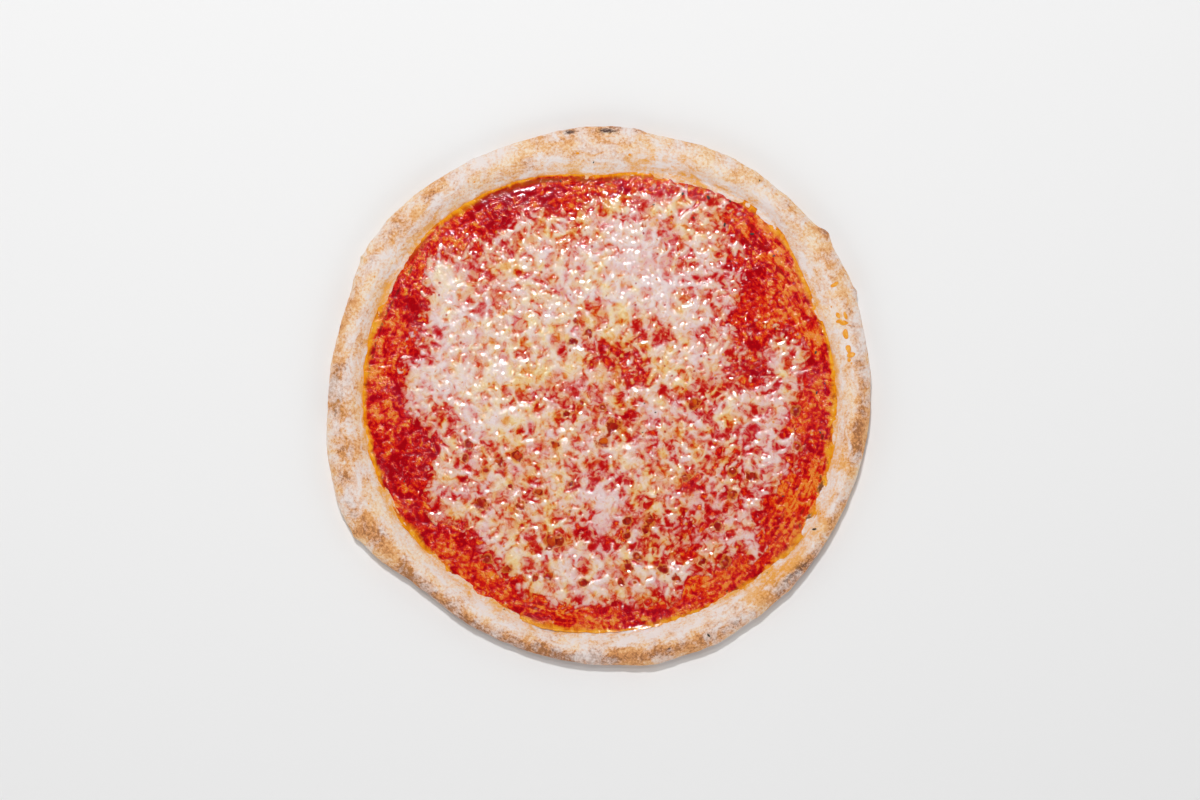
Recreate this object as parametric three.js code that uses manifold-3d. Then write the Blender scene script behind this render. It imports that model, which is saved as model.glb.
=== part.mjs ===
// A margherita pizza: a round of baked dough with a raised rim, tomato sauce in its well and melted
// mozzarella over the sauce. Millimetres, +Z up. It stands on z = 0, with the middle of its outline
// at the origin.
import * as THREE from "three";
import Module from "manifold-3d";
import { mergeVertices } from "three/addons/utils/BufferGeometryUtils.js";

// Distances from the middle, every 15 degrees counter-clockwise from +X: the crust was stretched by
// hand, so neither it nor the toppings are quite round.
const edgeRadii = [
  149.1, 149.3, 151.5, 149.6, 149.3, 146.2, 147.7, 145.6, 146.9, 150.2, 150.3, 147.5,
  149.3, 153.2, 155.5, 146.0, 144.6, 146.4, 148.8, 151.0, 150.4, 149.8, 147.8, 147.8,
];
const sauceRadii = [
  130.3, 128.5, 129.3, 134.2, 130.9, 126.0, 120.6, 124.0, 127.0, 129.7, 131.5, 130.2,
  130.1, 130.2, 130.2, 128.0, 129.5, 131.7, 130.5, 130.8, 131.5, 135.0, 136.0, 132.0,
];
const cheeseRadii = [
  111, 118, 91, 115, 123, 118, 107, 107, 114, 119, 108, 111,
  112, 97, 109, 108, 111, 118, 118, 117, 117, 119, 114, 116,
];

// Heights above the surface that the pizza rests on.
const rimHeight = 13.2;
const widestHeight = 6;
const wellHeight = 4.8;
const sauceHeight = 6.9;
const gap = 0.35;

// The rim's section: how far its underside curls up before the edge, where its crest lies between
// the edge and the sauce, and how many steps its inner slope has, of which the sauce covers one.
const underCurl = 7;
const crestShare = 0.42;
const slopeSteps = 5;

// The rim rises and sinks round the pizza in a few slow waves.
const rimWaves = [
  { count: 2, rise: 0.4, turn: 30 },
  { count: 5, rise: 0.5, turn: 110 },
  { count: 9, rise: 0.3, turn: 15 },
];

// The cheese thins at its edge and is lumpy on top.
const cheeseEdge = 0.5;
const cheeseThickness = 1.3;
const cheeseLump = 0.4;
const lumpSpacing = 24;

// The bay of bare sauce that cuts the cheese off from its patch on the +X side.
const bay = { x: 82, y: 24, halfWidth: 9, halfLength: 32, turn: 14 };

const turnSteps = 96;
const underSteps = 3;
const shoulderSteps = 5;
const flatShares = [0.33, 0.67];
const cheeseShares = [0.94, 0.78, 0.58, 0.38, 0.19];

const crustColour = 0xe2bf98;
const sauceColour = 0xc81a12;
const cheeseColour = 0xf0dfc4;

// A smooth closed curve of radius against angle, through evenly spaced radii.
function radiusCurve(radii) {
  const points = radii.map((radius, index) => {
    const angle = (index / radii.length) * 2 * Math.PI;
    return new THREE.Vector3(radius * Math.cos(angle), radius * Math.sin(angle), 0);
  });
  const curve = new THREE.CatmullRomCurve3(points, true, "catmullrom", 0.5);
  return (angle) => curve.getPoint(angle / (2 * Math.PI)).length();
}

const edgeRadius = radiusCurve(edgeRadii);
const sauceRadius = radiusCurve(sauceRadii);
const cheeseRadius = radiusCurve(cheeseRadii);

function radians(degrees) {
  return (degrees * Math.PI) / 180;
}

function crestHeight(angle) {
  return rimWaves.reduce(
    (height, wave) => height + wave.rise * Math.sin(wave.count * angle + radians(wave.turn)),
    rimHeight,
  );
}

function crestRadius(angle) {
  return edgeRadius(angle) - crestShare * (edgeRadius(angle) - sauceRadius(angle));
}

// Where the inner slope meets the flat well, one step of the slope inside the sauce's edge.
function footRadius(angle) {
  const crest = crestRadius(angle);
  const seenWidth = crest - sauceRadius(angle);
  return crest - (seenWidth * slopeSteps) / (slopeSteps - 1);
}

// A point on the rim's inner slope, from its foot at share 0 to the crest at share 1.
function slopePoint(angle, share) {
  const foot = footRadius(angle);
  const rise = 0.5 - 0.5 * Math.cos(Math.PI * share);
  return [
    foot + share * (crestRadius(angle) - foot),
    wellHeight + rise * (crestHeight(angle) - wellHeight),
  ];
}

// A quarter of an ellipse round (centreRadius, centreHeight), as profile points from one end to the
// other without the first.
function arc(centreRadius, centreHeight, halfWidth, halfHeight, fromDegrees, toDegrees, steps) {
  return Array.from({ length: steps }, (_, index) => {
    const turn = radians(fromDegrees + ((index + 1) / steps) * (toDegrees - fromDegrees));
    return [centreRadius + halfWidth * Math.cos(turn), centreHeight + halfHeight * Math.sin(turn)];
  });
}

function flatPoints(radius, height) {
  return flatShares.map((share) => [share * radius, height]);
}

// The section through the dough at one angle: out along the underside, round the rim and back along
// the well.
function crustProfile(angle) {
  const edge = edgeRadius(angle);
  const crest = crestRadius(angle);
  const curl = edge - underCurl;
  const slope = Array.from({ length: slopeSteps }, (_, index) => {
    return slopePoint(angle, 1 - (index + 1) / slopeSteps);
  });
  return [
    [0, 0],
    ...flatPoints(curl, 0),
    [curl, 0],
    ...arc(curl, widestHeight, underCurl, widestHeight, -90, 0, underSteps),
    ...arc(crest, widestHeight, edge - crest, crestHeight(angle) - widestHeight, 0, 90, shoulderSteps),
    ...slope,
    ...flatPoints(footRadius(angle), wellHeight).reverse(),
    [0, wellHeight],
  ];
}

// The sauce fills the well level, and thins where it laps onto the slope.
function sauceProfile(angle) {
  const foot = footRadius(angle);
  const [endRadius, endHeight] = slopePoint(angle, 1 / slopeSteps);
  const underside = wellHeight + gap;
  return [
    [0, underside],
    ...flatPoints(foot, underside),
    [foot, underside],
    [endRadius, endHeight + gap],
    [endRadius, sauceHeight],
    ...flatPoints(endRadius, sauceHeight).reverse(),
    [0, sauceHeight],
  ];
}

function cheeseTop(x, y) {
  const waves = Math.sin(x / lumpSpacing + 1) * Math.cos(y / lumpSpacing) + Math.sin((x + y) / lumpSpacing);
  return sauceHeight + gap + cheeseThickness + (cheeseLump / 2) * waves;
}

// The cheese lies flat on the sauce, lumpy on top and thinner at its lobed edge.
function cheeseProfile(angle) {
  const edge = cheeseRadius(angle);
  const underside = sauceHeight + gap;
  const top = cheeseShares.map((share) => {
    const radius = share * edge;
    return [radius, cheeseTop(radius * Math.cos(angle), radius * Math.sin(angle))];
  });
  return [
    [0, underside],
    [edge, underside],
    [edge, underside + cheeseEdge],
    ...top,
    [0, cheeseTop(0, 0)],
  ];
}

// A closed solid swept round the Z axis: profileAt(angle) gives [radius, height] pairs from the
// bottom pole, out round the edge and back to the top pole.
function sweptSolid(profileAt) {
  const positions = [];
  const rows = profileAt(0).length - 2;
  for (let step = 0; step < turnSteps; step++) {
    const angle = (step / turnSteps) * 2 * Math.PI;
    for (const [radius, height] of profileAt(angle).slice(1, -1)) {
      positions.push(radius * Math.cos(angle), radius * Math.sin(angle), height);
    }
  }
  const bottomPole = turnSteps * rows;
  const topPole = bottomPole + 1;
  positions.push(0, 0, profileAt(0).at(0)[1]);
  positions.push(0, 0, profileAt(0).at(-1)[1]);

  const triangles = [];
  for (let step = 0; step < turnSteps; step++) {
    const here = step * rows;
    const next = ((step + 1) % turnSteps) * rows;
    triangles.push(bottomPole, next, here);
    for (let row = 0; row < rows - 1; row++) {
      triangles.push(here + row, next + row, next + row + 1);
      triangles.push(here + row, next + row + 1, here + row + 1);
    }
    triangles.push(topPole, here + rows - 1, next + rows - 1);
  }
  const geometry = new THREE.BufferGeometry();
  geometry.setAttribute("position", new THREE.Float32BufferAttribute(positions, 3));
  geometry.setIndex(triangles);
  return geometry;
}

// The bay's outline, an ellipse turned to follow the cheese's edge, as a plug through the cheese.
function bayPlug() {
  const outline = new THREE.Shape();
  outline.absellipse(bay.x, bay.y, bay.halfWidth, bay.halfLength, 0, 2 * Math.PI, false, radians(bay.turn));
  const through = { depth: rimHeight, bevelEnabled: false, curveSegments: 24 };
  const plug = new THREE.ExtrudeGeometry(outline, through);
  plug.deleteAttribute("normal");
  plug.deleteAttribute("uv");
  return mergeVertices(plug);
}

// One geometry with another cut out of it.
async function cutOut(geometry, cutter) {
  const wasm = await Module();
  wasm.setup();
  const [body, tool] = [geometry, cutter].map((shape) => {
    const mesh = new wasm.Mesh({
      numProp: 3,
      vertProperties: new Float32Array(shape.attributes.position.array),
      triVerts: new Uint32Array(shape.index.array),
    });
    return new wasm.Manifold(mesh);
  });
  const result = body.subtract(tool).getMesh();
  const cut = new THREE.BufferGeometry();
  cut.setAttribute("position", new THREE.BufferAttribute(result.vertProperties, 3));
  cut.setIndex(new THREE.BufferAttribute(result.triVerts, 1));
  return cut;
}

function piece(name, geometry, colour, roughness) {
  geometry.computeVertexNormals();
  const material = new THREE.MeshStandardMaterial({ color: colour, roughness, metalness: 0 });
  const mesh = new THREE.Mesh(geometry, material);
  mesh.name = name;
  return mesh;
}

// Puts the middle of the outline at the origin.
function centre(group) {
  const middle = new THREE.Box3().setFromObject(group).getCenter(new THREE.Vector3());
  group.position.set(-middle.x, -middle.y, 0);
}

const pizza = new THREE.Group();
pizza.add(piece("crust", sweptSolid(crustProfile), crustColour, 0.85));
pizza.add(piece("tomato_sauce", sweptSolid(sauceProfile), sauceColour, 0.35));
pizza.add(piece("melted_cheese", await cutOut(sweptSolid(cheeseProfile), bayPlug()), cheeseColour, 0.4));
centre(pizza);

export default pizza;
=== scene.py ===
# A margherita pizza: a floury hand-stretched crust, wet tomato sauce with an oily edge, and melted
# shreds of mozzarella with bubble pits. Metres, +Z up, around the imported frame.
import functools
import math

import bmesh
import bpy
import numpy as np
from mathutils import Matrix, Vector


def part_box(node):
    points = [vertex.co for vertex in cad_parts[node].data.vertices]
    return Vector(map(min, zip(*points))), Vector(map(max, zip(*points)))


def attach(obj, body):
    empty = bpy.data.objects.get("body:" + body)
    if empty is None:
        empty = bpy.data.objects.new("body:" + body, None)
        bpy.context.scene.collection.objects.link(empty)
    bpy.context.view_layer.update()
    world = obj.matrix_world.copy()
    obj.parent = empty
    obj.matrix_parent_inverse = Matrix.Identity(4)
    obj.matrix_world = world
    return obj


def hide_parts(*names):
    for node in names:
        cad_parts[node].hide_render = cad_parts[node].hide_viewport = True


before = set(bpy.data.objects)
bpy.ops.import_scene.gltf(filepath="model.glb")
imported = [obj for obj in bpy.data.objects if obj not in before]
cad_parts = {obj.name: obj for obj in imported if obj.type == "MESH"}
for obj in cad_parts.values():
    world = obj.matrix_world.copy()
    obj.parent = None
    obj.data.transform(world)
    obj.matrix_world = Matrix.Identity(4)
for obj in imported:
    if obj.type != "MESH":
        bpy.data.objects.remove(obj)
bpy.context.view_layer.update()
mm = 0.001
turn = 2 * math.pi


def smoothStep(low, high, value):
    # 0 below low, 1 above high, and a smooth step in between
    share = np.clip((value - low) / (high - low), 0, 1)
    return share * share * (3 - 2 * share)


def lumps(points, size, seed):
    # a smooth random field from -1 to 1, whose lumps are about size across
    shuffle = np.random.default_rng(seed).permutation(1024)
    cell = points / size
    low = np.floor(cell).astype(int)
    part = cell - low
    part = part * part * (3 - 2 * part)
    field = np.zeros(len(points))
    for corner in np.ndindex(2, 2, 2):
        share = np.prod(np.where(corner, part, 1 - part), axis=1)
        index = low + corner
        slot = shuffle[(shuffle[(shuffle[index[:, 0] & 1023] + index[:, 1]) & 1023] + index[:, 2]) & 1023]
        field += share * (slot / 511.5 - 1)
    return field


def ruggedness(points, size, seed, layers=3):
    # lumps of several sizes on top of each other, each half as large as the one before
    field = np.zeros(len(points))
    for layer in range(layers):
        field += lumps(points, size / 2 ** layer, seed + layer) / 2 ** layer
    return field


def vectorsOf(rows, name):
    flat = np.empty(len(rows) * 3, np.float32)
    rows.foreach_get(name, flat)
    return flat.reshape(-1, 3).astype(float)


def pointsOf(mesh):
    return vectorsOf(mesh.vertices, "co")


def movePoints(mesh, points):
    mesh.vertices.foreach_set("co", points.astype(np.float32).ravel())
    mesh.update()


def paint(mesh, name, values):
    # stores one number from 0 to 1 for each point, which a material reads by its name
    layer = mesh.attributes.get(name) or mesh.attributes.new(name, "FLOAT", "POINT")
    layer.data.foreach_set("value", np.clip(values, 0, 1).astype(np.float32))


def numbersOf(mesh, name):
    values = np.empty(len(mesh.vertices), np.float32)
    mesh.attributes[name].data.foreach_get("value", values)
    return values.astype(float)


def smoothObject(name, bm):
    mesh = bpy.data.meshes.new(name)
    bm.to_mesh(mesh)
    bm.free()
    mesh.shade_smooth()
    piece = bpy.data.objects.new(name, mesh)
    bpy.context.scene.collection.objects.link(piece)
    return piece


def wrappedDisc(name, stations, steps):
    # a grid wrapped round Z into a closed shell: one way it runs along the section, where each
    # point keeps its station, and the other way round the pizza
    bm = bmesh.new()
    layer = bm.verts.layers.float.new("station")
    rows = len(stations) - 1
    bmesh.ops.create_grid(bm, x_segments=steps, y_segments=rows, size=0.5)
    for vert in bm.verts:
        row = round((vert.co.y + 0.5) * rows)
        angle = (vert.co.x + 0.5) * turn
        radius = math.sin(math.pi * row / rows)
        vert[layer] = stations[row]
        vert.co = (radius * math.cos(angle), radius * math.sin(angle), row / rows)
    bmesh.ops.remove_doubles(bm, verts=bm.verts, dist=1e-6)
    bmesh.ops.recalc_face_normals(bm, faces=bm.faces)
    return smoothObject(name, bm)


def wrapOf(mesh):
    # each point's station, and its angle round the pizza before it is moved
    placed = pointsOf(mesh)
    return numbersOf(mesh, "station"), np.arctan2(placed[:, 1], placed[:, 0])


def finishPiece(piece, material, node):
    piece.data.materials.append(material)
    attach(piece, "root")
    if node:
        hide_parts(node)
    print(piece.name, "made:", len(piece.data.polygons), "faces")


shot = {
    "lens": 85,                  # mm
    "sensor": 36,                # mm
    "frameWidth": 0.6594,        # what the view takes in at the crust's widest height
    "widestHeight": 0.006,
    "aside": (0.00055, -0.0022),
    "nearest": 0.01,
    "farthest": 20,
}


def makeCamera():
    camera = bpy.data.cameras.new("camera")
    camera.lens = shot["lens"]
    camera.sensor_width = shot["sensor"]
    camera.clip_start = shot["nearest"]
    camera.clip_end = shot["farthest"]
    holder = bpy.data.objects.new("camera", camera)
    distance = shot["frameWidth"] * shot["lens"] / shot["sensor"]
    holder.location = (*shot["aside"], shot["widestHeight"] + distance)
    bpy.context.scene.collection.objects.link(holder)
    bpy.context.scene.camera = holder


makeCamera()
print("camera made")


def nodePoints(nodeName):
    return pointsOf(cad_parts[nodeName].data)


def findHub():
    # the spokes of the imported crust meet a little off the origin, at the middle of its underside
    points = nodePoints("crust")
    under = points[points[:, 2] < 0.1 * mm]
    return under[np.argmin(np.hypot(under[:, 0], under[:, 1]))]


hub = findHub()


def polar(points):
    away = points - hub
    return np.hypot(away[:, 0], away[:, 1]), np.arctan2(away[:, 1], away[:, 0])


def fromPolar(radius, angle, height):
    return np.stack([hub[0] + radius * np.cos(angle), hub[1] + radius * np.sin(angle), height], 1)


def alongRing(angles, ranks, values, spokes=96):
    # for each spoke, the value of its highest-ranked point, as a smooth function of any angle
    slots = np.round(angles / turn * spokes).astype(int) % spokes
    order = np.argsort(ranks)
    best = np.zeros(spokes)
    best[slots[order]] = values[order]
    grid = np.arange(-1, spokes + 2) * turn / spokes
    ring = np.concatenate([best[-1:], best, best[:2]])
    return lambda angle: np.interp(np.mod(angle, turn), grid, ring)


def measureCrust():
    points = nodePoints("crust")
    radius, angle = polar(points)
    floorHeight = points[(radius < 30 * mm) & (points[:, 2] > mm), 2].min()
    return {
        "edge": alongRing(angle, radius, radius),
        "crest": alongRing(angle, points[:, 2], radius),
        "crestHeight": alongRing(angle, points[:, 2], points[:, 2]),
        "floor": floorHeight,
    }


def outlineOf(nodeName):
    radius, angle = polar(nodePoints(nodeName))
    return alongRing(angle, radius, radius)


dough = measureCrust()
sauceEnd = outlineOf("tomato_sauce")
cheeseEnd = outlineOf("melted_cheese")
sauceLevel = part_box("tomato_sauce")[1].z
wellRise = 8 * mm                # how far in from the sauce's end the well's floor begins to rise


def slopeHeight(radius, angle):
    # the dough's top surface: it comes up to the sauce's level at the sauce's end, and rounds up to
    # the crest
    end = sauceEnd(angle)
    crest = dough["crest"](angle)
    under = dough["floor"] + (sauceLevel - dough["floor"]) * smoothStep(end - wellRise, end, radius)
    share = np.clip((radius - end) / (crest - end), 0, 1)
    seen = sauceLevel + (dough["crestHeight"](angle) - sauceLevel) * np.sin(share * math.pi / 2)
    return np.where(radius < end, under, seen)


def degreesFrom(angle, middle):
    # how far round an angle is from a place given in degrees, from -180 to 180
    return (np.degrees(angle) - middle + 180) % 360 - 180


def spots(x, y, places):
    # adds up soft round spots, each (x, y, radius, amount) in mm
    total = np.zeros(len(x))
    for spotX, spotY, spotRadius, strength in places:
        away = ((x / mm - spotX) ** 2 + (y / mm - spotY) ** 2) / spotRadius ** 2
        total += strength * np.exp(-away)
    return total


def arcs(angle, radius, places):
    # adds up soft stretches of the rim, each (degrees round, radius in mm, half its length in degrees,
    # half its width in mm, amount)
    total = np.zeros(len(angle))
    for middle, ring, length, width, strength in places:
        away = (degreesFrom(angle, middle) / length) ** 2 + ((radius / mm - ring) / width) ** 2
        total += strength * np.exp(-away)
    return total


print("measured: well at", round(dough["floor"] / mm, 2), "mm, sauce at", round(sauceLevel / mm, 2), "mm")


def colour(hexCode):
    # an sRGB hex code as linear numbers
    levels = [int(hexCode[i:i + 2], 16) / 255 for i in (1, 3, 5)]
    return [v / 12.92 if v <= 0.04045 else ((v + 0.055) / 1.055) ** 2.4 for v in levels] + [1]


def addNode(tree, kind, settings, links, out=0):
    # adds one node with its settings and links, and gives the output named or numbered out; a ramp's
    # stops are (position, hex code), and a link is another node's output or a plain value
    made = tree.nodes.new("ShaderNode" + kind)
    for name, value in settings.items():
        if name == "stops":
            elements = made.color_ramp.elements
            while len(elements) < len(value):
                elements.new(0.5)
            for element, (position, hexCode) in zip(elements, value):
                element.position = position
                element.color = colour(hexCode)
        else:
            setattr(made, name, value)
    for name, value in links.items():
        if isinstance(value, bpy.types.NodeSocket):
            tree.links.new(value, made.inputs[name])
        elif isinstance(value, str):
            made.inputs[name].default_value = colour(value)
        else:
            made.inputs[name].default_value = value
    return made.outputs[out] if made.outputs else made


multiplyAdd = {"operation": "MULTIPLY_ADD"}
mixColours = {"data_type": "RGBA"}
seeded = {"noise_dimensions": "4D"}  # its W picks one of many noises


def scaleFor(size):
    # the scale at which a noise has lumps about this wide
    return 0.6 / size


def newMaterial(name):
    # an empty material, and addNode for its own tree
    material = bpy.data.materials.new(name)
    material.use_nodes = True
    material.node_tree.nodes.clear()
    return material, functools.partial(addNode, material.node_tree)


def inputsOf(add, *painted):
    # the object coordinates, and the numbers that were painted under these names
    place = add("TexCoord", {}, {}, "Object")
    return [place] + [add("Attribute", {"attribute_name": name}, {}, "Fac") for name in painted]


def windRound(add, place, ringGap, turns):
    # coordinates that run round the pizza, so that noise on them is drawn out along the rim
    flat = add("VectorMath", {"operation": "MULTIPLY"}, {0: place, 1: (1, 1, 0)})
    heading = add("VectorMath", {"operation": "NORMALIZE"}, {0: flat})
    radius = add("VectorMath", {"operation": "LENGTH"}, {0: flat}, "Value")
    rings = add("Math", {"operation": "DIVIDE"}, {0: radius, 1: ringGap})
    rings = add("CombineXYZ", {}, {"Z": rings})
    return add("VectorMath", multiplyAdd, {0: heading, 1: (turns, turns, turns), 2: rings})


def layOver(add, base, layers):
    # lays colours over a base, each (amount, where that begins to show, where it is full, share, colour)
    for amount, low, high, most, tone in layers:
        share = add("MapRange", {}, {"Value": amount, "From Min": low, "From Max": high, "To Max": most})
        base = add("Mix", mixColours, {0: share, 6: base, 7: tone}, 2)
    return base


def finishSurface(add, tone, roughness, specular, bumps=()):
    # ends a material with its shader, over bumps that are each (strength, distance, height)
    normal = {}
    for strength, distance, height in bumps:
        bump = {"Strength": strength, "Distance": distance, "Height": height, **normal}
        normal = {"Normal": add("Bump", {}, bump)}
    shader = add("BsdfPrincipled", {}, {
        "Base Color": tone, "Roughness": roughness, "Specular IOR Level": specular, **normal})
    add("OutputMaterial", {}, {"Surface": shader})


# the crust

crustLook = {
    "steps": 900,
    "underCurl": 7 * mm,
    "widest": 6 * mm,
    "roundness": 1.2,            # 1 is an ellipse, more is flatter towards the edge
    "relief": [                  # (height, width, seed) of the folds, the dents and the grit
        (0.8 * mm, 28 * mm, 11), (0.35 * mm, 8 * mm, 21), (0.16 * mm, 2.2 * mm, 31),
    ],
    "wrinkle": 2.6 * mm,         # between the wrinkles of the inner wall
    "wrinkleHeight": 0.35 * mm,
    "wrinkled": [(203, 130, 9, 4, 0.8), (217, 132, 9, 4, 1)],
    "seep": (0.3 * mm, 3.2 * mm, 1.3 * mm),  # where the sauce's oil begins to fade, ends, and how both vary
}
# bumps of the outline: (degrees round, half width in degrees, how far out in mm)
nubs = [
    (22, 0.9, 1.2), (35.4, 2, 3.2), (82, 2.2, 1), (150, 0.5, 1), (210, 1, 0.8), (230, 6, -1),
    (295, 5, 0.8), (308, 4, -0.6), (119, 1.2, 0.6),
]
# where the oven browned the rim
browned = [
    (5, 144, 14, 4, 0.42), (36, 152, 2.2, 3, 0.6), (22, 151, 1.2, 1.5, 0.6), (20, 143, 8, 3, 0.25),
    (83, 147, 4, 2.5, 0.3), (52, 146, 12, 3, 0.2), (105, 141, 12, 4, 0.2), (127, 142, 8, 6, 0.2),
    (140, 141, 10, 6, 0.25), (155, 145, 12, 3, 0.3), (181, 145, 6, 4, 0.7), (188, 141, 16, 7, 0.3),
    (207, 147, 12, 6, 0.45), (222, 142, 9, 5, 0.65), (238, 144, 10, 5, 0.65), (257, 143, 9, 5, 0.6),
    (268, 145, 7, 4, 0.45), (284, 144, 9, 4, 0.45), (298, 146, 6, 4, 0.3), (316, 145, 6, 5, 0.85),
    (104, 132, 7, 5, 0.3), (331, 146, 8, 3, 0.25), (350, 143, 12, 4, 0.4), (112, 147, 50, 3, 0.15),
    (268, 149, 45, 6, 0.32), (322, 147, 8, 5, 0.2), (95, 146, 8, 2.5, 0.2), (27, 147, 8, 4, 0.2),
]
# scorched places, almost black where strongest; the last one is painted shade on the small flap at 210
# degrees
scorchedAndShaded = [
    (317, 144.5, 3.2, 2.2, 0.5), (319.5, 146, 2.2, 1.6, 0.45), (315, 143.5, 1.6, 1.2, 0.35),
    (36.6, 155, 1.4, 1.6, 0.9), (22.3, 151.5, 0.8, 0.8, 0.6), (88.4, 144.8, 2.4, 1.8, 1.1),
    (96.6, 145, 1.6, 1.4, 1), (127, 142.5, 1.1, 1.5, 0.35), (126.7, 138.8, 0.4, 0.5, 0.5),
    (285.3, 144, 0.45, 0.8, 0.9), (183.8, 145, 0.7, 1, 0.6), (259.5, 142.5, 0.5, 0.8, 0.75),
    (313.4, 134, 0.3, 0.5, 0.8), (150, 150.5, 0.4, 0.6, 0.6), (77.8, 141.5, 0.5, 0.6, 0.3),
    # painted shade: this darkens the small flap at 210 degrees, which lies in shade
    (209.5, 154.5, 1.2, 1.2, 0.4),
]
# where flour lies thick (above 0) and where it was rubbed off (below 0)
floured = [
    (228, 145, 14, 5, -0.8), (250, 147, 11, 4, -0.6), (286, 146, 8, 4, -0.25), (316, 145, 7, 6, -0.9),
    (182, 145, 10, 5, -0.75), (142, 141, 9, 4, -0.2), (8, 137, 16, 4, 0.25), (42, 133, 13, 5, 0.6),
    (30, 145, 8, 4, -0.5), (105, 140, 6, 8, -0.4), (165, 145, 7, 4, -0.3), (345, 146, 6, 4, -0.25),
    (225, 134, 5, 4, -0.4), (255, 134, 5, 4, -0.4), (195, 134, 6, 4, -0.25), (120, 144, 5, 4, 0.6),
    (330, 134, 7, 4, 0.3), (270, 134, 6, 4, 0.25), (240, 134, 6, 4, 0.2), (157, 145, 8, 4, 0.25),
    (172, 135, 12, 5, 0.4), (302, 145, 6, 3, 0.2), (97, 144, 5, 3, 0.15), (20, 134, 14, 4, 0.35),
    (30, 148, 4, 3, 0.25), (85, 128, 12, 7, 0.3), (112, 129, 14, 5, 0.2), (130, 134, 8, 3, 0.4),
    (155, 137, 14, 4, 0.35), (215, 134, 16, 5, 0.2), (198, 133, 8, 3, 0.3), (240, 134, 14, 5, 0.6),
    (262, 135, 12, 5, 0.5), (285, 134, 14, 5, 0.75), (300, 138, 8, 4, 0.35), (48, 139, 10, 5, 0.4),
    (70, 146, 6, 3, 0.35), (12, 148, 12, 3, 0.3), (118, 143, 8, 4, 0.85), (232, 140, 5, 4, 0.3),
    (350, 134, 8, 3, 0.25), (165, 150, 12, 3, 0.3),
]
# oil that soaked out of the sauce into the dough
oiled = [
    (65, 131, 4, 4, 0.5), (71, 131, 3.5, 6, 0.8), (77, 130, 5, 6, 1.1), (81, 125, 3, 3, 0.7),
    (103, 127, 9, 2, 0.5), (348, 134, 6, 3, 0.3), (180, 146, 5, 4, 0.3), (105, 132, 4, 4, 0.2),
    (92, 122, 4, 5, 0.4), (312, 139, 8, 5, 0.65), (320, 138, 7, 5, 0.55), (330, 140, 6, 5, 0.3),
    (342, 140, 7, 6, 0.35), (50, 135, 6, 2.5, 0.4), (136, 133, 3, 3, 0.4), (132, 131.5, 2, 2.5, 0.3),
    (18.5, 140, 2.2, 4, 0.4), (345, 136, 4, 4, 0.4), (140, 141, 9, 5, 0.3), (5, 143, 8, 4, 0.2),
    (188, 141, 12, 5, 0.25), (204, 142, 8, 5, 0.2), (222, 142, 6, 4, 0.2),
]


def crustStations():
    # to 1 the flat underside, to 2 its curl, to 3 the outer side up to the crest, to 4 the inner slope,
    # to 5 the well
    return np.concatenate([
        [0, 0.5, 0.8], np.linspace(1, 2, 12, endpoint=False), np.linspace(2, 3, 32, endpoint=False),
        np.linspace(3, 4, 26, endpoint=False), [4, 4.15, 4.5, 5],
    ])


def crustSection(station, angle):
    crest = dough["crest"](angle)
    crestHeight = dough["crestHeight"](angle)
    foot = sauceEnd(angle) - wellRise
    nub = sum(out * mm * np.exp(-(degreesFrom(angle, at) / half) ** 2) for at, half, out in nubs)
    edge = dough["edge"](angle) + nub
    curl = crustLook["underCurl"]
    widest = crustLook["widest"]
    quarter = (station % 1) * math.pi / 2
    outward = np.cos(quarter) ** crustLook["roundness"]
    upward = np.sin(quarter) ** crustLook["roundness"]
    part = [station < 1, station < 2, station < 3, station < 4]
    radius = np.select(part, [
        station * (edge - curl), edge - curl + curl * np.sin(quarter),
        crest + (edge - crest) * outward, crest - (station - 3) * (crest - foot)], (5 - station) * foot)
    height = np.select(part, [
        0 * radius, widest * (1 - np.cos(quarter)), widest + (crestHeight - widest) * upward,
        slopeHeight(radius, angle)], dough["floor"])
    return radius, height


def makeCrust():
    piece = wrappedDisc("baked_crust", crustStations(), crustLook["steps"])
    mesh = piece.data
    station, angle = wrapOf(mesh)
    radius, height = crustSection(station, angle)
    points = fromPolar(radius, angle, height)
    movePoints(mesh, points)

    rim = smoothStep(1, 1.6, station) * (1 - smoothStep(3.75, 3.95, station))
    relief = sum(height * ruggedness(points, width, seed, 2) for height, width, seed in crustLook["relief"])
    radius, angle = polar(points)
    waves = np.sin(radius / crustLook["wrinkle"] * turn + 1.5 * lumps(points, 12 * mm, 35))
    relief += crustLook["wrinkleHeight"] * waves * arcs(angle, radius, crustLook["wrinkled"])
    points = points + vectorsOf(mesh.vertex_normals, "vector") * (relief * rim)[:, None]
    points[:, 2] = np.maximum(points[:, 2], 0)
    movePoints(mesh, points)

    radius, angle = polar(points)
    under = 1 - smoothStep(0.2 * mm, 3 * mm, points[:, 2])
    side = 1 - smoothStep(1.6, 2.4, station)
    toast = 0.3 + 0.24 * ruggedness(points, 15 * mm, 71) + 0.16 * side
    paint(mesh, "toast", toast + arcs(angle, radius, browned))
    baked = under * smoothStep(0.35, 0.9, lumps(points, 9 * mm, 75))
    # the scorched places, the underside browned by the stone, and a patch of painted shade on one flap
    paint(mesh, "scorch", arcs(angle, radius, scorchedAndShaded) + baked)
    flour = 0.18 + 0.4 * ruggedness(points, 12 * mm, 78, 4) + 0.05 * side
    paint(mesh, "flour", flour + arcs(angle, radius, floured))
    outward = radius - sauceEnd(angle)
    fades, ends, varies = crustLook["seep"]
    seep = 1 - smoothStep(fades, ends, outward + varies * lumps(points, 7 * mm, 81))
    paint(mesh, "oil", arcs(angle, radius, oiled) + seep)
    return piece


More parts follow.
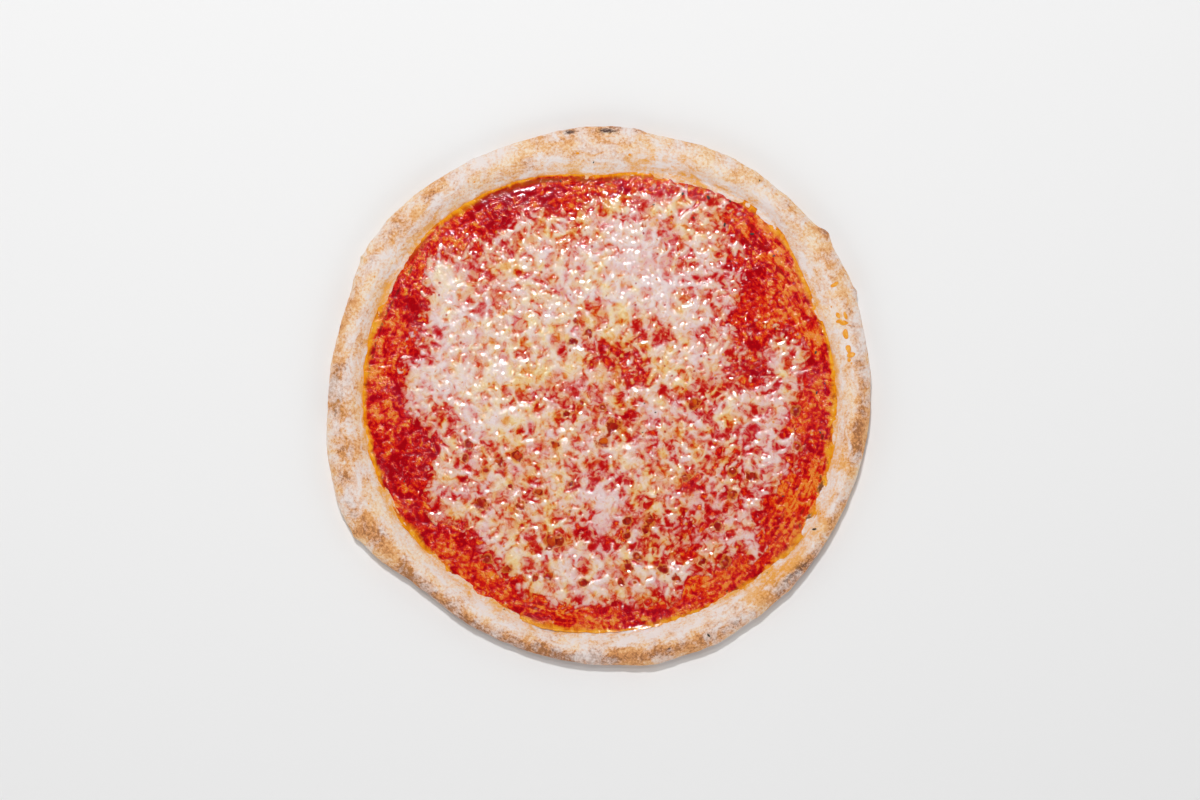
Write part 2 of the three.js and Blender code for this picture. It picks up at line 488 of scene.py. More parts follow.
def crustMaterial():
    # wheat dough, stretched by hand and baked on stone: dry and matt, cream to tan under loose flour
    material, add = newMaterial("baked wheat dough")
    place, toast, flour, scorch, oil = inputsOf(add, "toast", "flour", "scorch", "oil")
    mottle = add("TexNoise", {}, {
        "Vector": place, "Scale": scaleFor(4 * mm), "Detail": 4, "Roughness": 0.65})
    grit = add("TexNoise", {}, {
        "Vector": place, "Scale": scaleFor(0.9 * mm), "Detail": 3, "Roughness": 0.75})
    # coordinates that run round the pizza, added to plain ones, draw the flour out a little along the rim
    wound = windRound(add, place, ringGap=4 * mm, turns=8)
    wound = add("VectorMath", multiplyAdd, {0: place, 1: (90, 90, 250), 2: wound})
    powder = add("TexNoise", {}, {
        "Vector": wound, "Scale": 0.6, "Detail": 5, "Roughness": 0.7, "Distortion": 0.5})
    patchy = add("Math", multiplyAdd, {0: mottle, 1: 1.2, 2: -0.6})
    specks = add("Math", multiplyAdd, {0: grit, 1: 1.7, 2: -0.85})
    dusting = add("Math", multiplyAdd, {0: powder, 1: 5.2, 2: -2.6})
    browning = add("Math", {"operation": "ADD"}, {0: toast, 1: patchy})
    browning = add("Math", {"operation": "ADD"}, {0: browning, 1: specks})
    skin = add("ValToRGB", {"stops": [
        (0, "#F2DDC4"), (0.25, "#EDC9A0"), (0.5, "#E7B27C"), (0.7, "#DB9A60"), (0.86, "#C98854"),
        (1, "#A56C42"),
    ]}, {"Fac": browning})
    dust = add("Math", {"operation": "ADD"}, {0: flour, 1: dusting})
    dust = add("Math", multiplyAdd, {0: specks, 1: -1.2, 2: dust})
    # char from the scorched places, with the painted shade on one flap
    charAndShade = add("Math", {"operation": "ADD"}, {0: scorch, 1: specks})
    skin = layOver(add, skin, [
        (oil, 0.05, 1, 0.85, "#E9A038"), (dust, -0.15, 1.1, 0.95, "#EBE0DC"),
        (charAndShade, 0.3, 0.95, 1, "#563E38"),
    ])
    finishSurface(add, skin, roughness=0.8, specular=0.3, bumps=[
        (0.6, 0.6 * mm, mottle), (1, 0.5 * mm, grit),
    ])
    return material


crust = makeCrust()
finishPiece(crust, crustMaterial(), "crust")


# the tomato sauce

sauceLook = {
    "steps": 840,
    "edgeThickness": 0.12 * mm,
    "thickness": 0.4 * mm,
    "creep": 4 * mm,             # how far in from its end the sauce begins to thin
    "pulp": 0.07 * mm,
    "streaks": 0.06 * mm,
    "swells": 0.4 * mm,
    "streaksFrom": 95 * mm,      # the radius beyond which the sauce is drawn into streaks
    "overhang": 0.3 * mm,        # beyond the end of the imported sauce
    "wander": 0.5 * mm,          # of its outline
    "sink": 0.3 * mm,            # how far it reaches down into the dough
    "oil": (4 * mm, 2.4 * mm, 3 * mm),      # how far in it reaches, how that varies, what oilReach adds
    "fold": (5.5 * mm, 2 * mm, 0.55 * mm),  # how far in, how that varies, and half its width
    "sear": (2.8 * mm, 1.4 * mm),           # how far in, and half its width
}
# deep red pools (below 0) and orange pulp (above 0): (x, y, radius, amount) in mm
pulpPatches = [
    (-112, -40, 24, -0.2), (-78, -88, 14, -0.05), (-52, 107, 20, -0.5), (78, 28, 12, -0.15),
    (92, 14, 10, -0.3), (92, 50, 10, 0.15), (-112, 40, 14, 0.2), (108, -70, 12, 0.35),
    (-128, -10, 12, 0.15), (-98, 40, 8, -0.25), (110, 60, 16, 0.3), (-120, 10, 8, 0.25),
    (100, 84, 12, 0.3), (-85, 90, 14, 0.3), (116, -50, 16, 0.35), (60, -105, 20, 0.1),
    (-70, -100, 14, 0.2), (35, 116, 22, 0.25), (126, 0, 14, 0.2), (-95, -72, 10, -0.15),
    (30, -112, 16, -0.2), (118, 30, 10, 0.25), (-60, 108, 6, 0.1), (0, -122, 20, 0.15),
]
# how much further in the oil reaches at some places: (degrees round, half its length, amount)
oilReach = [
    (44, 5, 0.8), (52, 6, 0.5), (78, 6, 0.7), (126, 7, 0.6), (140, 4, 0.5), (155, 9, 0.9), (335, 9, 0.9),
    (346, 3, 1.5), (190, 8, 0.3), (215, 6, 0.4), (10, 8, 0.4), (318, 7, 0.8), (102, 16, -0.5),
    (128, 8, -0.5),
]
# where the sauce dried into a fold along its edge: (degrees round, half its length, amount)
folded = [(10, 26, 0.25), (60, 14, 0.3), (95, 26, 0.5), (140, 14, 0.4), (200, 26, 0.2), (340, 16, 0.3)]
# where the outermost edge of the sauce browned: (degrees round, half its length, amount)
edgeBrowned = [(98, 26, 0.7), (62, 12, 0.4), (142, 12, 0.4), (178, 10, 0.3)]
# burnt bits and the dark fold along the sauce's edge: (degrees, radius in mm, half its length in
# degrees, half its width in mm, amount)
burnt = [
    (349.3, 124.4, 1, 1.3, 0.8), (337.2, 131.6, 1.6, 1.8, 0.9), (339.5, 129.5, 0.8, 1.2, 0.6),
    (329.6, 133.3, 1.2, 1.6, 0.9), (326.8, 131.6, 0.8, 1.3, 0.6), (343.5, 130.5, 0.5, 1, 0.6),
    (147, 124, 2.6, 1, 0.45), (152.5, 124.4, 2.6, 0.9, 0.55), (157.5, 125, 3, 0.8, 0.6),
    (163, 125.6, 3, 0.8, 0.6), (168.5, 126.2, 3, 0.8, 0.6), (173.5, 127.4, 2.6, 0.8, 0.55),
    (178, 128.6, 1.6, 0.7, 0.45), (281, 127, 0.6, 0.8, 0.8), (303, 128.4, 0.4, 0.7, 0.8),
    (69.5, 121.5, 0.5, 0.8, 0.5), (133, 126.4, 1.6, 0.5, 0.5), (312, 130.4, 0.9, 0.7, 0.5),
    (62, 126, 1.6, 0.5, 0.4), (24, 129.3, 2.4, 0.5, 0.5), (34, 126.9, 2, 0.5, 0.4),
    (205, 127.5, 2.5, 0.5, 0.35),
]


def sauceStations():
    # to 1 the underside, to 1.2 the outer part of the top, to 2 the rest of the top
    outer = np.linspace(1.006, 1.2, 36, endpoint=False)
    inner = np.linspace(1.2, 2, 52)
    return np.concatenate([[0, 0.5, 0.9, 0.999, 1, 1.0015], outer, inner])


def sauceTop(points):
    # the height of the sauce's surface above or below any point
    radius, angle = polar(points)
    inward = np.clip((sauceEnd(angle) - radius) / sauceLook["creep"], 0, 1)
    thickness = sauceLook["edgeThickness"] + sauceLook["thickness"] * smoothStep(0, 1, inward)
    level = np.maximum(sauceLevel, slopeHeight(radius, angle) + thickness)
    flat = points * (1, 1, 0)
    lumpy = sauceLook["pulp"] * ruggedness(flat, 2.6 * mm, 41, 2)
    lumpy += sauceLook["swells"] * lumps(flat, 20 * mm, 44)
    wound = np.stack([np.cos(angle) * 16, np.sin(angle) * 16, radius / (1.5 * mm)], 1)
    streaky = sauceLook["streaks"] * ruggedness(wound, 1, 47, 2)
    streaky = streaky * smoothStep(sauceLook["streaksFrom"], 115 * mm, radius)
    return level + (lumpy + streaky) * smoothStep(0, 0.7, inward)


def along(angle, stretches):
    # the sum of stretches along the edge: (degrees round, half its length, amount)
    return sum(amount * np.exp(-(degreesFrom(angle, at) / half) ** 2) for at, half, amount in stretches)


def makeSauce():
    piece = wrappedDisc("tomato_pulp", sauceStations(), sauceLook["steps"])
    mesh = piece.data
    station, angle = wrapOf(mesh)
    ring = np.stack([np.cos(angle), np.sin(angle), 0 * angle], 1)
    end = sauceEnd(angle) + sauceLook["overhang"] + sauceLook["wander"] * ruggedness(ring, 0.06, 51, 3)
    radius = np.where(station < 1, station, 2 - station) * end
    points = fromPolar(radius, angle, 0 * radius)
    under = slopeHeight(radius, angle) - sauceLook["sink"]
    points[:, 2] = np.where(station < 1, under, sauceTop(points))
    movePoints(mesh, points)

    x, y = points[:, 0], points[:, 1]
    outer = smoothStep(sauceLook["streaksFrom"], 128 * mm, radius)
    flat = points * (1, 1, 0)
    swirls = 0.16 * ruggedness(flat, 14 * mm, 55, 2) + 0.2 * ruggedness(flat, 5 * mm, 58, 2)
    paint(mesh, "pulp", 0.33 + spots(x, y, pulpPatches) + 0.1 * outer + swirls)
    drawn = 0.35 + 0.65 * smoothStep(-0.2, 0.4, lumps(flat, 30 * mm, 59))
    paint(mesh, "drawn", drawn * smoothStep(sauceLook["streaksFrom"], 122 * mm, radius))
    reach, varies, further = sauceLook["oil"]
    wide = reach + varies * lumps(ring, 0.1, 57) + further * along(angle, oilReach)
    paint(mesh, "oil", 1 - smoothStep(0, 1, (end - radius) / wide))
    # the line where the sauce dried and folded, a little in from its end
    inset, varies, half = sauceLook["fold"]
    inset = inset + varies * ruggedness(ring, 0.12, 53, 3)
    fold = np.exp(-((end - radius - inset) / half) ** 2)
    fold = fold * smoothStep(-0.3, 0.4, lumps(ring, 0.16, 54)) * along(angle, folded)
    inset, half = sauceLook["sear"]
    rim = np.exp(-((end - radius - inset) / half) ** 2) * along(angle, edgeBrowned)
    paint(mesh, "seared", rim * (1 + 0.8 * ruggedness(ring, 0.08, 56, 2)))
    paint(mesh, "burnt", arcs(angle, radius, burnt) + fold)
    return piece


def sauceMaterial():
    # crushed tomato cooked with oil: wet and glossy, deep red where thick, orange where it dried thin
    material, add = newMaterial("crushed tomato in oil")
    place, pulp, oil, drawn, seared, burnt = inputsOf(add, "pulp", "oil", "drawn", "seared", "burnt")
    # streaks along the rim, about 9 mm long and 1.5 mm apart
    wound = windRound(add, place, ringGap=1.5 * mm, turns=14)
    streaks = add("TexNoise", {}, {"Vector": wound, "Scale": 0.8, "Detail": 3, "Roughness": 0.6})
    mottle = add("TexNoise", {}, {
        "Vector": place, "Scale": scaleFor(2.6 * mm), "Detail": 3, "Roughness": 0.55, "Distortion": 0.6})
    grain = add("TexNoise", {}, {
        "Vector": place, "Scale": scaleFor(1.1 * mm), "Detail": 3, "Roughness": 0.7})
    swing = add("Math", multiplyAdd, {0: streaks, 1: 2.8, 2: -1.4})
    swing = add("Math", {"operation": "MULTIPLY"}, {0: swing, 1: drawn})
    blots = add("Math", multiplyAdd, {0: mottle, 1: 2.9, 2: -1.45})
    specks = add("Math", multiplyAdd, {0: grain, 1: 1.9, 2: -0.95})
    tone = pulp
    for part in (swing, blots, specks):
        tone = add("Math", {"operation": "ADD"}, {0: tone, 1: part})
    flesh = add("ValToRGB", {"stops": [
        (0, "#A2000A"), (0.16, "#BE040C"), (0.38, "#D0180A"), (0.58, "#DA3408"), (0.78, "#E0580A"),
        (1, "#E8822A"),
    ]}, {"Fac": tone})
    # painted sheen: pale pink specks, finer than a grain of rice, that stand in for the haze of tiny wet
    # glints
    paleSheen = add("TexNoise", seeded, {
        "Vector": place, "W": 2, "Scale": scaleFor(1 * mm), "Detail": 2, "Roughness": 0.7})
    paleSheen = add("Math", multiplyAdd, {0: blots, 1: 0.12, 2: paleSheen})
    oily = add("Math", multiplyAdd, {0: blots, 1: 0.5, 2: oil})
    golden = add("ValToRGB", {"stops": [
        (0.3, "#D0740E"), (0.45, "#E88E0C"), (0.65, "#F0A624")]}, {"Fac": mottle})
    seared = add("Math", multiplyAdd, {0: swing, 1: -0.5, 2: seared})
    black = add("Math", multiplyAdd, {0: specks, 1: 0.7, 2: burnt})
    # over the tomato go the painted sheen of the pale specks, the oil, the seared edge and the burnt bits
    flesh = layOver(add, flesh, [
        (paleSheen, 0.64, 0.78, 0.8, "#E4A698"), (oily, 0.15, 0.85, 1, golden), (seared, 0.1, 1, 1, "#A8440E"),
        (black, 0.3, 0.65, 0.85, "#5E1408"),
    ])
    # smooth wet bumps, each wide enough to hold one small glint
    swell = add("TexNoise", {}, {
        "Vector": place, "Scale": scaleFor(0.95 * mm), "Detail": 1, "Roughness": 0.5, "Distortion": 0.8})
    wet = add("MapRange", {}, {"Value": mottle, "From Min": 0.46, "From Max": 0.6, "To Min": 0.12})
    swell = add("Math", {"operation": "MULTIPLY"}, {0: swell, 1: wet})
    finishSurface(add, flesh, roughness=0.08, specular=0.4, bumps=[
        (1, 0.4 * mm, swell), (0.08, 0.15 * mm, grain),
    ])
    return material


sauce = makeSauce()
finishPiece(sauce, sauceMaterial(), "tomato_sauce")


# the melted mozzarella

cheeseLook = {
    "cell": 0.7 * mm,
    "reach": 124 * mm,           # half the side of the square that the shreds fall on
    "shreds": 2400,
    "shredLength": (8 * mm, 20 * mm),
    "shredWidth": (1.3 * mm, 2.4 * mm),
    "shredHeight": (0.4, 1),     # of the tallest
    "shredBend": 2.8,            # radians, at most, from one end to the other
    "beads": 14,                 # dropped in a row for each shred
    "melting": 5,                # how many times each place is evened out with its neighbours
    "thickness": 0.9 * mm,
    "relief": 0.1 * mm,
    "lift": 0.05 * mm,           # above the sauce at least, where there is any cheese
    "bottom": 0.5 * mm,          # above the well's floor
    "margin": 7 * mm,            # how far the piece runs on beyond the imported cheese
    "fade": (-9 * mm, 12 * mm),  # from outside to inside its outline, where it thins out
    "clot": 3 * mm,
    "clotShare": 0.2,            # how much of the heap is clots
    "pitReach": 1.6,             # of each pit's half width
    "pitWobble": 0.5,            # of its outline
}
# where the cheese lies thick (above 0) and where it is thin or missing (below 0):
# (x, y, radius, amount) in mm
cheesePatches = [
    (-60, 25, 38, 0.2), (-75, 5, 18, 0.12), (-64, -11, 14, 0.38), (24, 71, 22, 0.56), (-10, 70, 14, 0.22),
    (-6, 109, 10, 0.35), (34, 110, 11, 0.47), (-24, 87, 13, 0.35), (68, 109, 13, 0.85), (-90, 68, 13, 1),
    (-72, 92, 13, -0.6), (-92, 50, 9, 0.05), (-48, 50, 10, 0.28), (0, 50, 14, 0.2), (-10, 10, 9, -0.1),
    (72, 12, 8, -0.2), (68, 31, 9, 0.33), (-48, -32, 12, -0.2), (-30, -30, 10, -0.38),
    (-74, -92, 12, -0.38), (-10, -72, 10, -0.4), (92, -72, 10, -0.14), (72, -112, 9, -0.34),
    (12, -93, 9, 0.3), (52, 12, 10, 0.28), (74, -9, 9, 0.37), (108, 12, 9, 0.3), (112, -11, 10, -0.5),
    (84, 34, 11, -0.75), (87, 12, 10, -0.75), (12, 14, 16, -0.42), (8, -2, 12, -0.12),
    (12, -32, 12, 0.08), (55, -4, 9, -0.2), (51, -48, 9, -0.6), (70, -30, 11, -0.2), (72, 68, 12, -0.42),
    (73, 86, 8, -0.2), (-70, -50, 11, -0.37), (-90, -50, 9, 0.4), (-29, -69, 10, 0.15),
    (9, -74, 9, -0.35), (30, -68, 8, 0.1), (50, -73, 12, -0.55), (-72, -32, 9, -0.18),
    (-50, -92, 12, 0.15), (-12, -108, 11, 0.35), (38, -109, 14, 0.6), (89, -89, 12, 0.8),
    (-50, 69, 8, -0.2), (-104, 42, 9, -0.3), (-90, -92, 11, -0.7), (-104, -42, 12, -0.35),
    (92, -55, 12, -0.05), (-32, 31, 12, 0.22), (32, -12, 10, 0.1), (-12, -30, 10, 0.12),
    (32, -50, 8, 0.25), (50, -28, 8, 0.18), (110, -51, 9, -0.4), (50, 48, 10, 0.05), (52, 31, 9, -0.25),
    (-88, 8, 8, 0.08), (-91, 30, 8, -0.12), (-70, 33, 9, 0.4), (-29, 10, 9, 0.2), (-110, 8, 9, -0.25),
    (-109, -12, 9, -0.15), (91, -9, 8, -0.15), (29, -29, 9, -0.42), (-50, -49, 9, 0.5),
    (71, -51, 9, -0.2), (-51, -69, 8, -0.12), (71, -69, 9, -0.28), (106, -68, 9, 0.5), (-90, -69, 8, 0.2),
    (-31, -51, 8, -0.15), (-31, 12, 8, 0.08), (110, 31, 9, -0.26), (49, 70, 8, -0.15),
    (31, -91, 8, -0.12), (-10, 30, 8, -0.12), (-12, 90, 9, -0.25), (108, -11, 8, -0.3), (70, 92, 8, -0.3),
    (-90, 30, 8, -0.2), (-50, -70, 8, -0.18), (-90, -70, 9, 0.25), (90, -88, 9, 0.3), (112, 12, 8, 0.2),
    (-10, 112, 8, 0.2),
]
# where the cheese turned yellow (above 0) and where it stayed milky (below 0)
warmPatches = [
    (8, 42, 14, 0.2), (-38, 10, 22, 0.2), (30, 10, 14, 0.1), (12, 14, 12, 0.35), (10, -14, 12, 0.15),
    (-30, -30, 24, 0.12), (52, -30, 10, 0.15), (30, -50, 10, 0.2), (-32, -66, 14, 0.2), (50, 9, 9, 0.3),
    (-45, 70, 10, 0.12), (12, 112, 10, 0.6), (-12, 111, 9, 0.4), (22, 27, 9, 0.35), (34, 18, 7, 0.3),
    (30, -88, 12, 0.2), (72, 8, 9, 0.15), (72, -46, 8, 0.12), (16, 78, 18, -0.5), (52, 64, 17, -0.45),
    (32, 54, 10, -0.25), (52, 31, 10, -0.15), (30, 30, 8, -0.15), (-75, 32, 24, -0.2), (-92, 9, 11, -0.5),
    (-70, -10, 11, -0.45), (75, 68, 14, -0.25), (92, -14, 11, -0.45), (94, -32, 14, -0.45),
    (90, 10, 8, -0.18), (0, -51, 14, -0.45), (2, -71, 13, -0.35), (31, -11, 10, -0.4),
    (30, -29, 9, -0.15), (50, -10, 9, -0.2), (-10, -88, 14, -0.15), (52, -70, 11, -0.3),
    (76, -70, 14, -0.3), (92, -50, 9, -0.2), (-30, 90, 12, -0.05), (16, 92, 12, -0.25),
]
# (x, y, width) in mm of the pits that bubbles left in the cheese
pits = [
    (2.7, -24.7, 7), (8.2, -16.5, 6.5), (51.7, -3.8, 6.5), (-45, -33, 5.5), (-55, -35.7, 6),
    (-62.6, -40.7, 4.5), (-71.4, -26.9, 4.5), (-73.6, -34, 3.5), (-64.3, -58.8, 6), (-42.9, -60.4, 4.5),
    (-48.9, -49.5, 3.5), (-24.2, -26.9, 5), (-9.3, -3.8, 3.5), (-18, -10, 3.5), (2.2, -6.6, 3.5),
    (-15.4, -48.4, 3), (-33, -52.2, 4.5), (84, -44, 5.5), (73.6, -41.2, 4), (47.3, -45, 4.5),
    (73, -53.9, 5), (108, -8.2, 5), (108.8, -28, 4.5), (-61.5, -89.6, 5), (-50.6, -95, 5),
    (-26.9, -98.4, 5), (-34.6, -100, 4), (-25.8, -79.7, 9), (-8.8, -102.8, 4), (64.8, -70.9, 6),
    (28, -68, 5.5), (25.8, -73.6, 5), (16, -68.7, 4.5), (15.4, -76.4, 3.5), (15.9, -93.4, 5.5),
    (35.2, -95.6, 5.5), (11.5, -102.2, 4), (69.2, -91.8, 5.5), (57.1, -90.7, 4.5), (20.9, -88.5, 4),
    (42.9, -100, 4), (-5.5, 34.6, 5), (-14.8, 30.2, 4), (-12.6, 41.2, 4),
]


def evenRanks(field):
    # the same field, with its values spread evenly from 0 to 1
    ranks = np.empty(field.size)
    ranks[np.argsort(field, axis=None)] = np.linspace(0, 1, field.size)
    return ranks.reshape(field.shape)


def fallShreds():
    # drops curved shreds on a fine grid, where the higher of two shreds hides the other, and ranks
    # each place by its height
    rng = np.random.default_rng(7)
    step = cheeseLook["cell"] / 2
    reach = cheeseLook["reach"] + 4 * mm
    count = int(2 * reach / step)
    shreds = cheeseLook["shreds"]
    x, y = rng.uniform(-reach, reach, (2, shreds))
    length = rng.uniform(*cheeseLook["shredLength"], shreds)
    width = rng.uniform(*cheeseLook["shredWidth"], shreds)
    heading = rng.uniform(0, turn, shreds)
    bend = rng.uniform(-cheeseLook["shredBend"], cheeseLook["shredBend"], shreds)
    tall = rng.uniform(*cheeseLook["shredHeight"], shreds)
    heap = np.zeros((count, count))
    beads = cheeseLook["beads"]
    window = int(cheeseLook["shredWidth"][1] / step) + 1
    for bead in range(beads):
        heading = heading + bend / beads
        x = x + length / beads * np.cos(heading)
        y = y + length / beads * np.sin(heading)
        column = np.round((x + reach) / step).astype(int)
        row = np.round((y + reach) / step).astype(int)
        inside = (np.minimum(row, column) > window) & (np.maximum(row, column) < count - window - 1)
        for down in range(-window, window + 1):
            for right in range(-window, window + 1):
                awayX = (column + right) * step - reach - x
                awayY = (row + down) * step - reach - y
                pile = tall * (1 - (awayX ** 2 + awayY ** 2) / width ** 2)
                np.maximum.at(heap, (row[inside] + down, column[inside] + right), pile[inside])
    for melting in range(cheeseLook["melting"]):
        rows = heap[2:, 1:-1] + heap[:-2, 1:-1]
        heap[1:-1, 1:-1] = (heap[1:-1, 1:-1] + rows + heap[1:-1, 2:] + heap[1:-1, :-2]) / 5
    grid = np.stack(np.meshgrid(np.arange(count), np.arange(count)) + [np.zeros((count, count))], 2)
    clots = ruggedness(grid.reshape(-1, 3) * step, cheeseLook["clot"], 89, 2).reshape(heap.shape)
    return evenRanks(heap + cheeseLook["clotShare"] * clots), step, reach


def readGrid(grid, step, reach, x, y):
    column = np.clip((x + reach) / step, 0, len(grid) - 2)
    row = np.clip((y + reach) / step, 0, len(grid) - 2)
    c, r = column.astype(int), row.astype(int)
    u, v = column - c, row - r
    near = grid[r, c] * (1 - u) + grid[r, c + 1] * u
    far = grid[r + 1, c] * (1 - u) + grid[r + 1, c + 1] * u
    return near * (1 - v) + far * v


def pitShape(x, y):
    # 1 in the middle of each pit, falling to 0 a little outside it, with a wobbly outline
    depth = np.zeros(len(x))
    wobble = cheeseLook["pitWobble"] * ruggedness(np.stack([x, y, 0 * x], 1), 3 * mm, 66, 2)
    for pitX, pitY, width in pits:
        away = np.hypot(x - pitX * mm, y - pitY * mm) / (width * mm / 2)
        depth = np.maximum(depth, 1 - (away + wobble) / cheeseLook["pitReach"])
    return np.clip(depth, 0, 1)


def cheeseCover(x, y, fallen):
    # 1 where the cheese is thickest, and below 0 where bare sauce shows
    points = np.stack([x, y, 0 * x], 1)
    radius, angle = polar(points)
    drift = np.stack([lumps(points, 5 * mm, 91), lumps(points, 5 * mm, 92), 0 * x], 1)
    warped = points + 1.5 * mm * drift
    cloud = evenRanks(ruggedness(warped, 12 * mm, 93, 2))
    pile = evenRanks(readGrid(*fallen, warped[:, 0], warped[:, 1]) + 0.6 * cloud)
    inside = cheeseEnd(angle) - radius
    margin = 1 - smoothStep(*cheeseLook["fade"], inside + 3 * mm * lumps(points, 12 * mm, 95))
    cover = -0.03 + 0.9 * pile + spots(x, y, cheesePatches) - 1.1 * margin
    # a few small bits that lie on the sauce beyond the rest
    crumbs = 0.55 * smoothStep(0.9, 0.97, evenRanks(ruggedness(points, 2.6 * mm, 97, 2))) - 0.1
    far = smoothStep(-2 * mm, 4 * mm, -inside)
    return np.maximum(cover, crumbs - 0.8 * far)


def makeCheese(fallen):
    bm = bmesh.new()
    segments = int(2 * cheeseLook["reach"] / cheeseLook["cell"])
    bmesh.ops.create_grid(bm, x_segments=segments, y_segments=segments, size=cheeseLook["reach"])
    places = np.array([vert.co for vert in bm.verts])
    radius, angle = polar(places)
    outside = radius > cheeseEnd(angle) + cheeseLook["margin"]
    bmesh.ops.delete(bm, geom=[vert for vert, out in zip(bm.verts, outside) if out], context="VERTS")
    layer = bm.verts.layers.float.new("bottom")
    skirt = bmesh.ops.extrude_edge_only(bm, edges=[edge for edge in bm.edges if edge.is_boundary])["geom"]
    for vert in skirt:
        if isinstance(vert, bmesh.types.BMVert):
            vert[layer] = 1
    rim = [edge for edge in bm.edges if edge.is_boundary]
    bmesh.ops.triangle_fill(bm, use_beauty=True, use_dissolve=False, edges=rim)
    bmesh.ops.recalc_face_normals(bm, faces=bm.faces)
    piece = smoothObject("mozzarella_shreds", bm)
    mesh = piece.data
    bottom = numbersOf(mesh, "bottom")
    points = pointsOf(mesh)
    x, y = points[:, 0], points[:, 1]
    cover = cheeseCover(x, y, fallen)
    pit = pitShape(x, y)
    top = sauceTop(points)
    rise = np.where(cover > 0, cover ** 2 / (np.abs(cover) + 0.25) * 1.25, np.maximum(cover, -0.4))
    rise = rise * (1 - smoothStep(0.3, 0.6, pit)) + 0.25 * np.exp(-((pit - 0.3) / 0.12) ** 2)
    height = top + cheeseLook["lift"] + rise * cheeseLook["thickness"]
    height += cheeseLook["relief"] * lumps(points, 2.4 * mm, 61) * smoothStep(-0.1, 0.3, cover)
    points[:, 2] = np.where(bottom < 0.5, height, dough["floor"] + cheeseLook["bottom"])
    movePoints(mesh, points)
    paint(mesh, "cover", cover * 0.8 + 0.2)
    paint(mesh, "pit", pit)
    yellowed = 1.4 * spots(x, y, warmPatches) + 0.24 * ruggedness(points * (1, 1, 0), 9 * mm, 64, 3)
    paint(mesh, "warm", 0.45 + 0.7 * yellowed)
    return piece


def cheeseMaterial():
    # melted mozzarella: oily and glossy, and so clear where it is thin that the tomato shows pink
    material, add = newMaterial("melted mozzarella")
    place, cover, pit, warm = inputsOf(add, "cover", "pit", "warm")
    blots = add("TexNoise", {}, {
        "Vector": place, "Scale": scaleFor(2.2 * mm), "Detail": 2, "Roughness": 0.5, "Distortion": 1})
    grain = add("TexNoise", seeded, {
        "Vector": place, "W": 3, "Scale": scaleFor(0.9 * mm), "Detail": 2, "Roughness": 0.6})
    rough = add("Math", multiplyAdd, {0: blots, 1: 1.25, 2: -0.65})
    specks = add("Math", multiplyAdd, {0: grain, 1: 0.36, 2: -0.18})
    body = add("Math", {"operation": "ADD"}, {0: cover, 1: rough})
    body = add("Math", {"operation": "ADD"}, {0: body, 1: specks})
    # the pinkish tones are the cheese's own pink where it is thin over the tomato, and their palest,
    # lavender stops are painted sheen for the haze of fine glints
    steps = (0, 0.12, 0.24, 0.36, 0.5, 0.64, 0.8, 1)
    pinkAndSheen, yellowish = [add("ValToRGB", {"stops": list(zip(steps, tones))}, {"Fac": body}) for tones in (
        ("#B8040C", "#BE0E18", "#C83A3A", "#D46E68", "#DC9C96", "#E2B8B2", "#E4C8C6", "#E9D7D4"),
        ("#B40402", "#C01404", "#CC3E0C", "#D66C22", "#E0984E", "#E6B474", "#E9C68E", "#EDD6A8"),
    )]
    # thin places between the strands turn yellow and orange with oil, and the raised ones stay white
    tint = add("TexNoise", seeded, {
        "Vector": place, "W": 7, "Scale": scaleFor(5 * mm), "Detail": 2, "Roughness": 0.6})
    warmth = add("Math", multiplyAdd, {0: tint, 1: 2.8, 2: warm})
    warmth = add("Math", multiplyAdd, {0: rough, 1: -1.2, 2: warmth})
    # of the 4 mm cells a few hold a bead of orange oil, and a few a small hole down to the sauce
    cells = add("TexVoronoi", {}, {"Vector": place, "Scale": 1 / (4 * mm)}, "Distance")
    kind = add("SeparateColor", {}, {0: cells.node.outputs["Color"]}, 0)
    size = add("ValToRGB", {"stops": [
        (0.08, "#FFFFFF"), (0.12, "#000000"), (0.84, "#000000"), (0.9, "#FFFFFF")]}, {"Fac": kind})
    bead = add("Math", multiplyAdd, {0: size, 1: 0.38, 2: -0.14})
    bead = add("Math", {"operation": "SUBTRACT"}, {0: bead, 1: cells})
    bead = add("Math", multiplyAdd, {0: rough, 1: 0.3, 2: bead})
    filling = add("ValToRGB", {"stops": [(0.3, "#A8140C"), (0.7, "#DC861A")]}, {"Fac": kind})
    # each pit's edge is singed, and its middle dark
    edge = add("Math", multiplyAdd, {0: specks, 1: 0.4, 2: pit})
    edge = add("Math", multiplyAdd, {0: rough, 1: 1.3, 2: edge})
    scald = add("ValToRGB", {"stops": [
        (0, "#E4AC60"), (0.3, "#DA8A2C"), (0.42, "#C8601A"), (0.54, "#A82A0C"), (1, "#860C08"),
    ]}, {"Fac": edge})
    milk = layOver(add, pinkAndSheen, [
        (warmth, 1.5, 2.4, 1, yellowish), (bead, 0, 0.12, 0.9, filling), (edge, 0.05, 0.5, 1, scald),
    ])
    # smooth wet bumps, each wide enough to hold one small glint
    swell = add("TexNoise", seeded, {
        "Vector": place, "W": 5, "Scale": scaleFor(1.1 * mm), "Detail": 1, "Distortion": 0.8})
    wet = add("TexNoise", seeded, {"Vector": place, "W": 9, "Scale": scaleFor(5 * mm), "Detail": 1})
    wet = add("MapRange", {}, {"Value": wet, "From Min": 0.44, "From Max": 0.6, "To Min": 0.12})
    swell = add("Math", {"operation": "MULTIPLY"}, {0: swell, 1: wet})
    finishSurface(add, milk, roughness=0.07, specular=0.6, bumps=[
        (1, 0.42 * mm, swell), (0.1, 0.25 * mm, grain),
    ])
    return material


cheese = makeCheese(fallShreds())
finishPiece(cheese, cheeseMaterial(), "melted_cheese")


# small pieces that lie on the others

